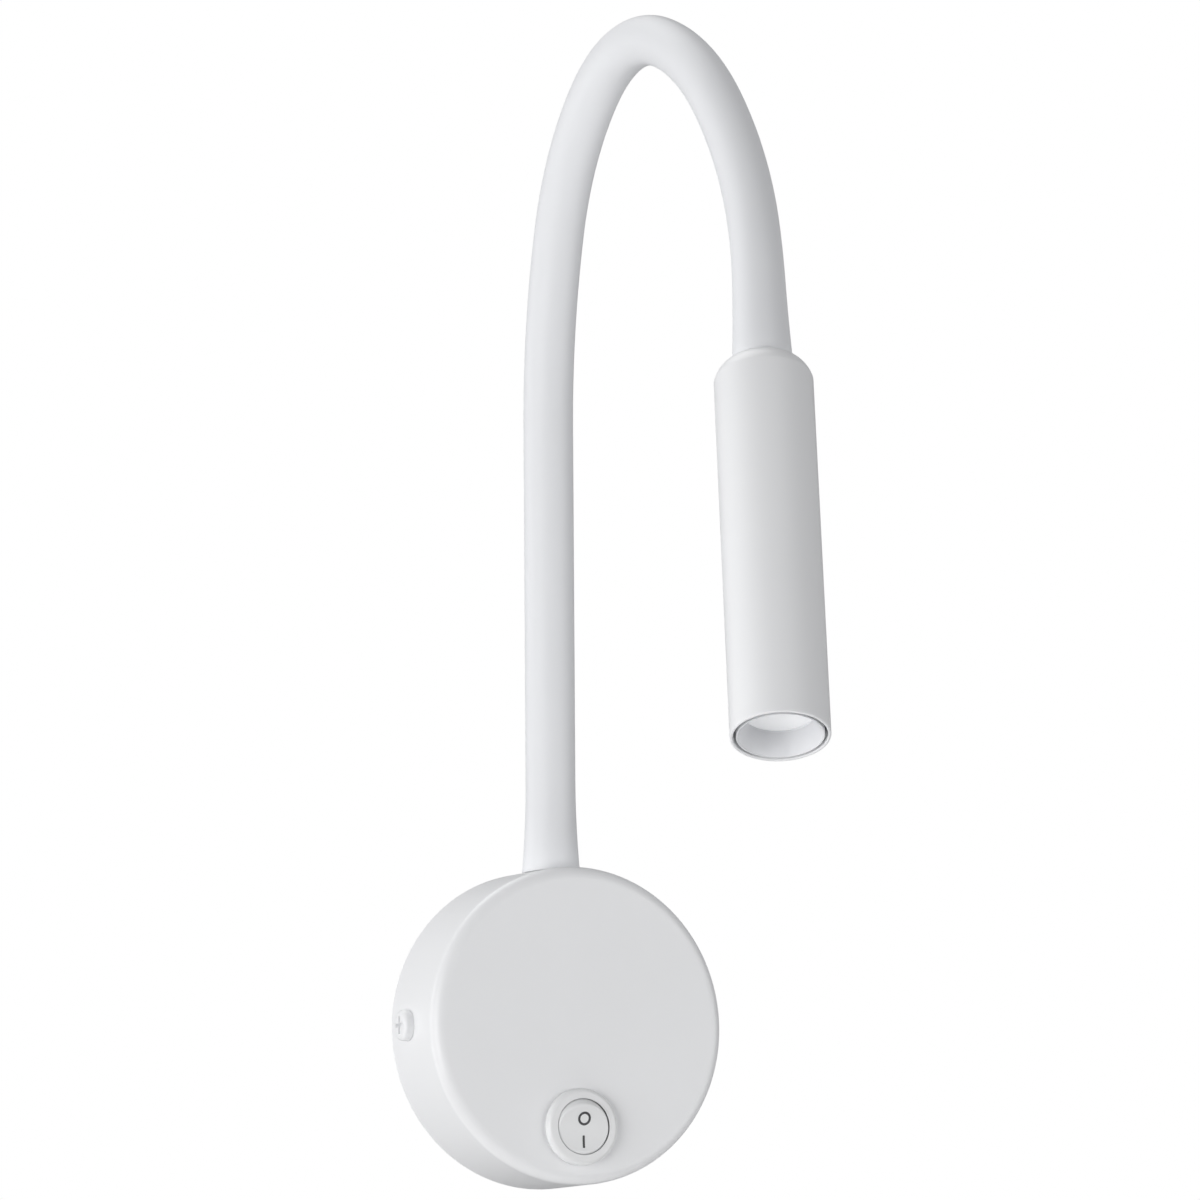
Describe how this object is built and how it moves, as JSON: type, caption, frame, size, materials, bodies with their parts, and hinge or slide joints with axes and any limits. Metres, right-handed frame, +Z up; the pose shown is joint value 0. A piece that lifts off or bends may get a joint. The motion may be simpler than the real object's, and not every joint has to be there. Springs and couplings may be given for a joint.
{
  "type": "wall reading lamp",
  "caption": "Wall reading lamp with a round switched base, a flexible neck that keeps its bend and a slim tubular LED head with a recessed lens.",
  "frame": {"origin": "middle of the base's back, on the wall and midway between the two wall screws", "axes": "+Z up, +Y into the wall, +X to the right of someone facing the lamp"},
  "size_m": [0.0848, 0.2035, 0.2899],
  "materials": {
    "paint": "satin white paint",
    "silicone": "soft white sleeve",
    "switch_plastic": "satin",
    "ring_plastic": "matt",
    "steel": "zinc plated",
    "brass": "bright",
    "block_plastic": "matt",
    "driver_plastic": "matt",
    "pad_rubber": "matt",
    "grommet_rubber": "matt",
    "wire_brown": "satin",
    "wire_blue": "satin",
    "wire_green": "satin",
    "lead_jacket": "satin",
    "sink_metal": "plain",
    "board_mask": "matt",
    "emitter": "gloss",
    "lens_frosted": "frosted"
  },
  "bodies": {
    "base": {"base_cover": "paint", "wall_bracket": "steel", "cover_screws": "paint", "inlet_grommet": "grommet_rubber", "terminal_block": "block_plastic", "terminal_screws": "steel", "block_screws": "steel", "earth_screw": "brass", "driver_case": "driver_plastic", "driver_pad": "pad_rubber", "switch_housing": "switch_plastic", "switch_terminals": "brass", "live_wire": "wire_brown", "switched_wire": "wire_brown", "neutral_wire": "wire_blue", "earth_wire": "wire_green", "driver_lead": "lead_jacket", "neck_nipple": "steel", "neck_washer": "steel", "neck_nut": "steel", "neck_sleeve_1": "silicone", "neck_core_1": "steel", "neck_lead_1": "lead_jacket"},
    "rocker": {"switch_rocker": "switch_plastic"},
    "neck_2": {"neck_sleeve_2": "silicone", "neck_core_2": "steel", "neck_lead_2": "lead_jacket"},
    "neck_3": {"neck_sleeve_3": "silicone", "neck_core_3": "steel", "neck_lead_3": "lead_jacket"},
    "neck_4": {"neck_sleeve_4": "silicone", "neck_core_4": "steel", "neck_lead_4": "lead_jacket"},
    "neck_5": {"neck_sleeve_5": "silicone", "neck_core_5": "steel", "neck_lead_5": "lead_jacket"},
    "neck_6": {"neck_sleeve_6": "silicone", "neck_core_6": "steel", "neck_lead_6": "lead_jacket"},
    "neck_7": {"neck_sleeve_7": "silicone", "neck_core_7": "steel", "neck_lead_7": "lead_jacket"},
    "head": {"neck_sleeve_8": "silicone", "neck_core_8": "steel", "neck_lead_8": "lead_jacket", "head_nipple": "steel", "head_nut": "steel", "head_shell": "paint", "heat_sink": "sink_metal", "led_board": "board_mask", "board_screws": "steel", "led_emitter": "emitter", "lens_holder": "ring_plastic", "lens": "lens_frosted", "lens_seal": "silicone", "glare_ring": "ring_plastic"}
  },
  "joints": [
    {"name": "rocker_tilt", "type": "hinge", "parent": "base", "child": "rocker", "pos_m": [0, -0.024, -0.0256], "axis": [1, 0, 0], "range_deg": [-13, 0]},
    {"name": "neck_bend_1", "type": "hinge", "parent": "base", "child": "neck_2", "pos_m": [0, -0.0095, 0.096], "axis": [1, 0, 0], "range_deg": [0, 35]},
    {"name": "neck_turn_2", "type": "hinge", "parent": "neck_2", "child": "neck_3", "pos_m": [0, -0.0095, 0.153], "axis": [0, 1, 0], "range_deg": [-35, 35]},
    {"name": "neck_bend_3", "type": "hinge", "parent": "neck_3", "child": "neck_4", "pos_m": [0, -0.01686, 0.20227], "axis": [-1, 0, 0], "range_deg": [-30, 38]},
    {"name": "neck_turn_4", "type": "hinge", "parent": "neck_4", "child": "neck_5", "pos_m": [0, -0.03917, 0.23472], "axis": [0, 0.6157, 0.788], "range_deg": [-30, 30]},
    {"name": "neck_bend_5", "type": "hinge", "parent": "neck_5", "child": "neck_6", "pos_m": [0, -0.07701, 0.24174], "axis": [1, 0, 0], "range_deg": [-38, 12]},
    {"name": "neck_turn_6", "type": "hinge", "parent": "neck_6", "child": "neck_7", "pos_m": [0, -0.11033, 0.22051], "axis": [0, -0.7431, 0.6691], "range_deg": [-35, 35]},
    {"name": "neck_bend_7", "type": "hinge", "parent": "neck_7", "child": "head", "pos_m": [-0.00313, -0.13483, 0.18914], "axis": [-0.9877, 0.0962, 0.1232], "range_deg": [-30, 38]}
  ]
}
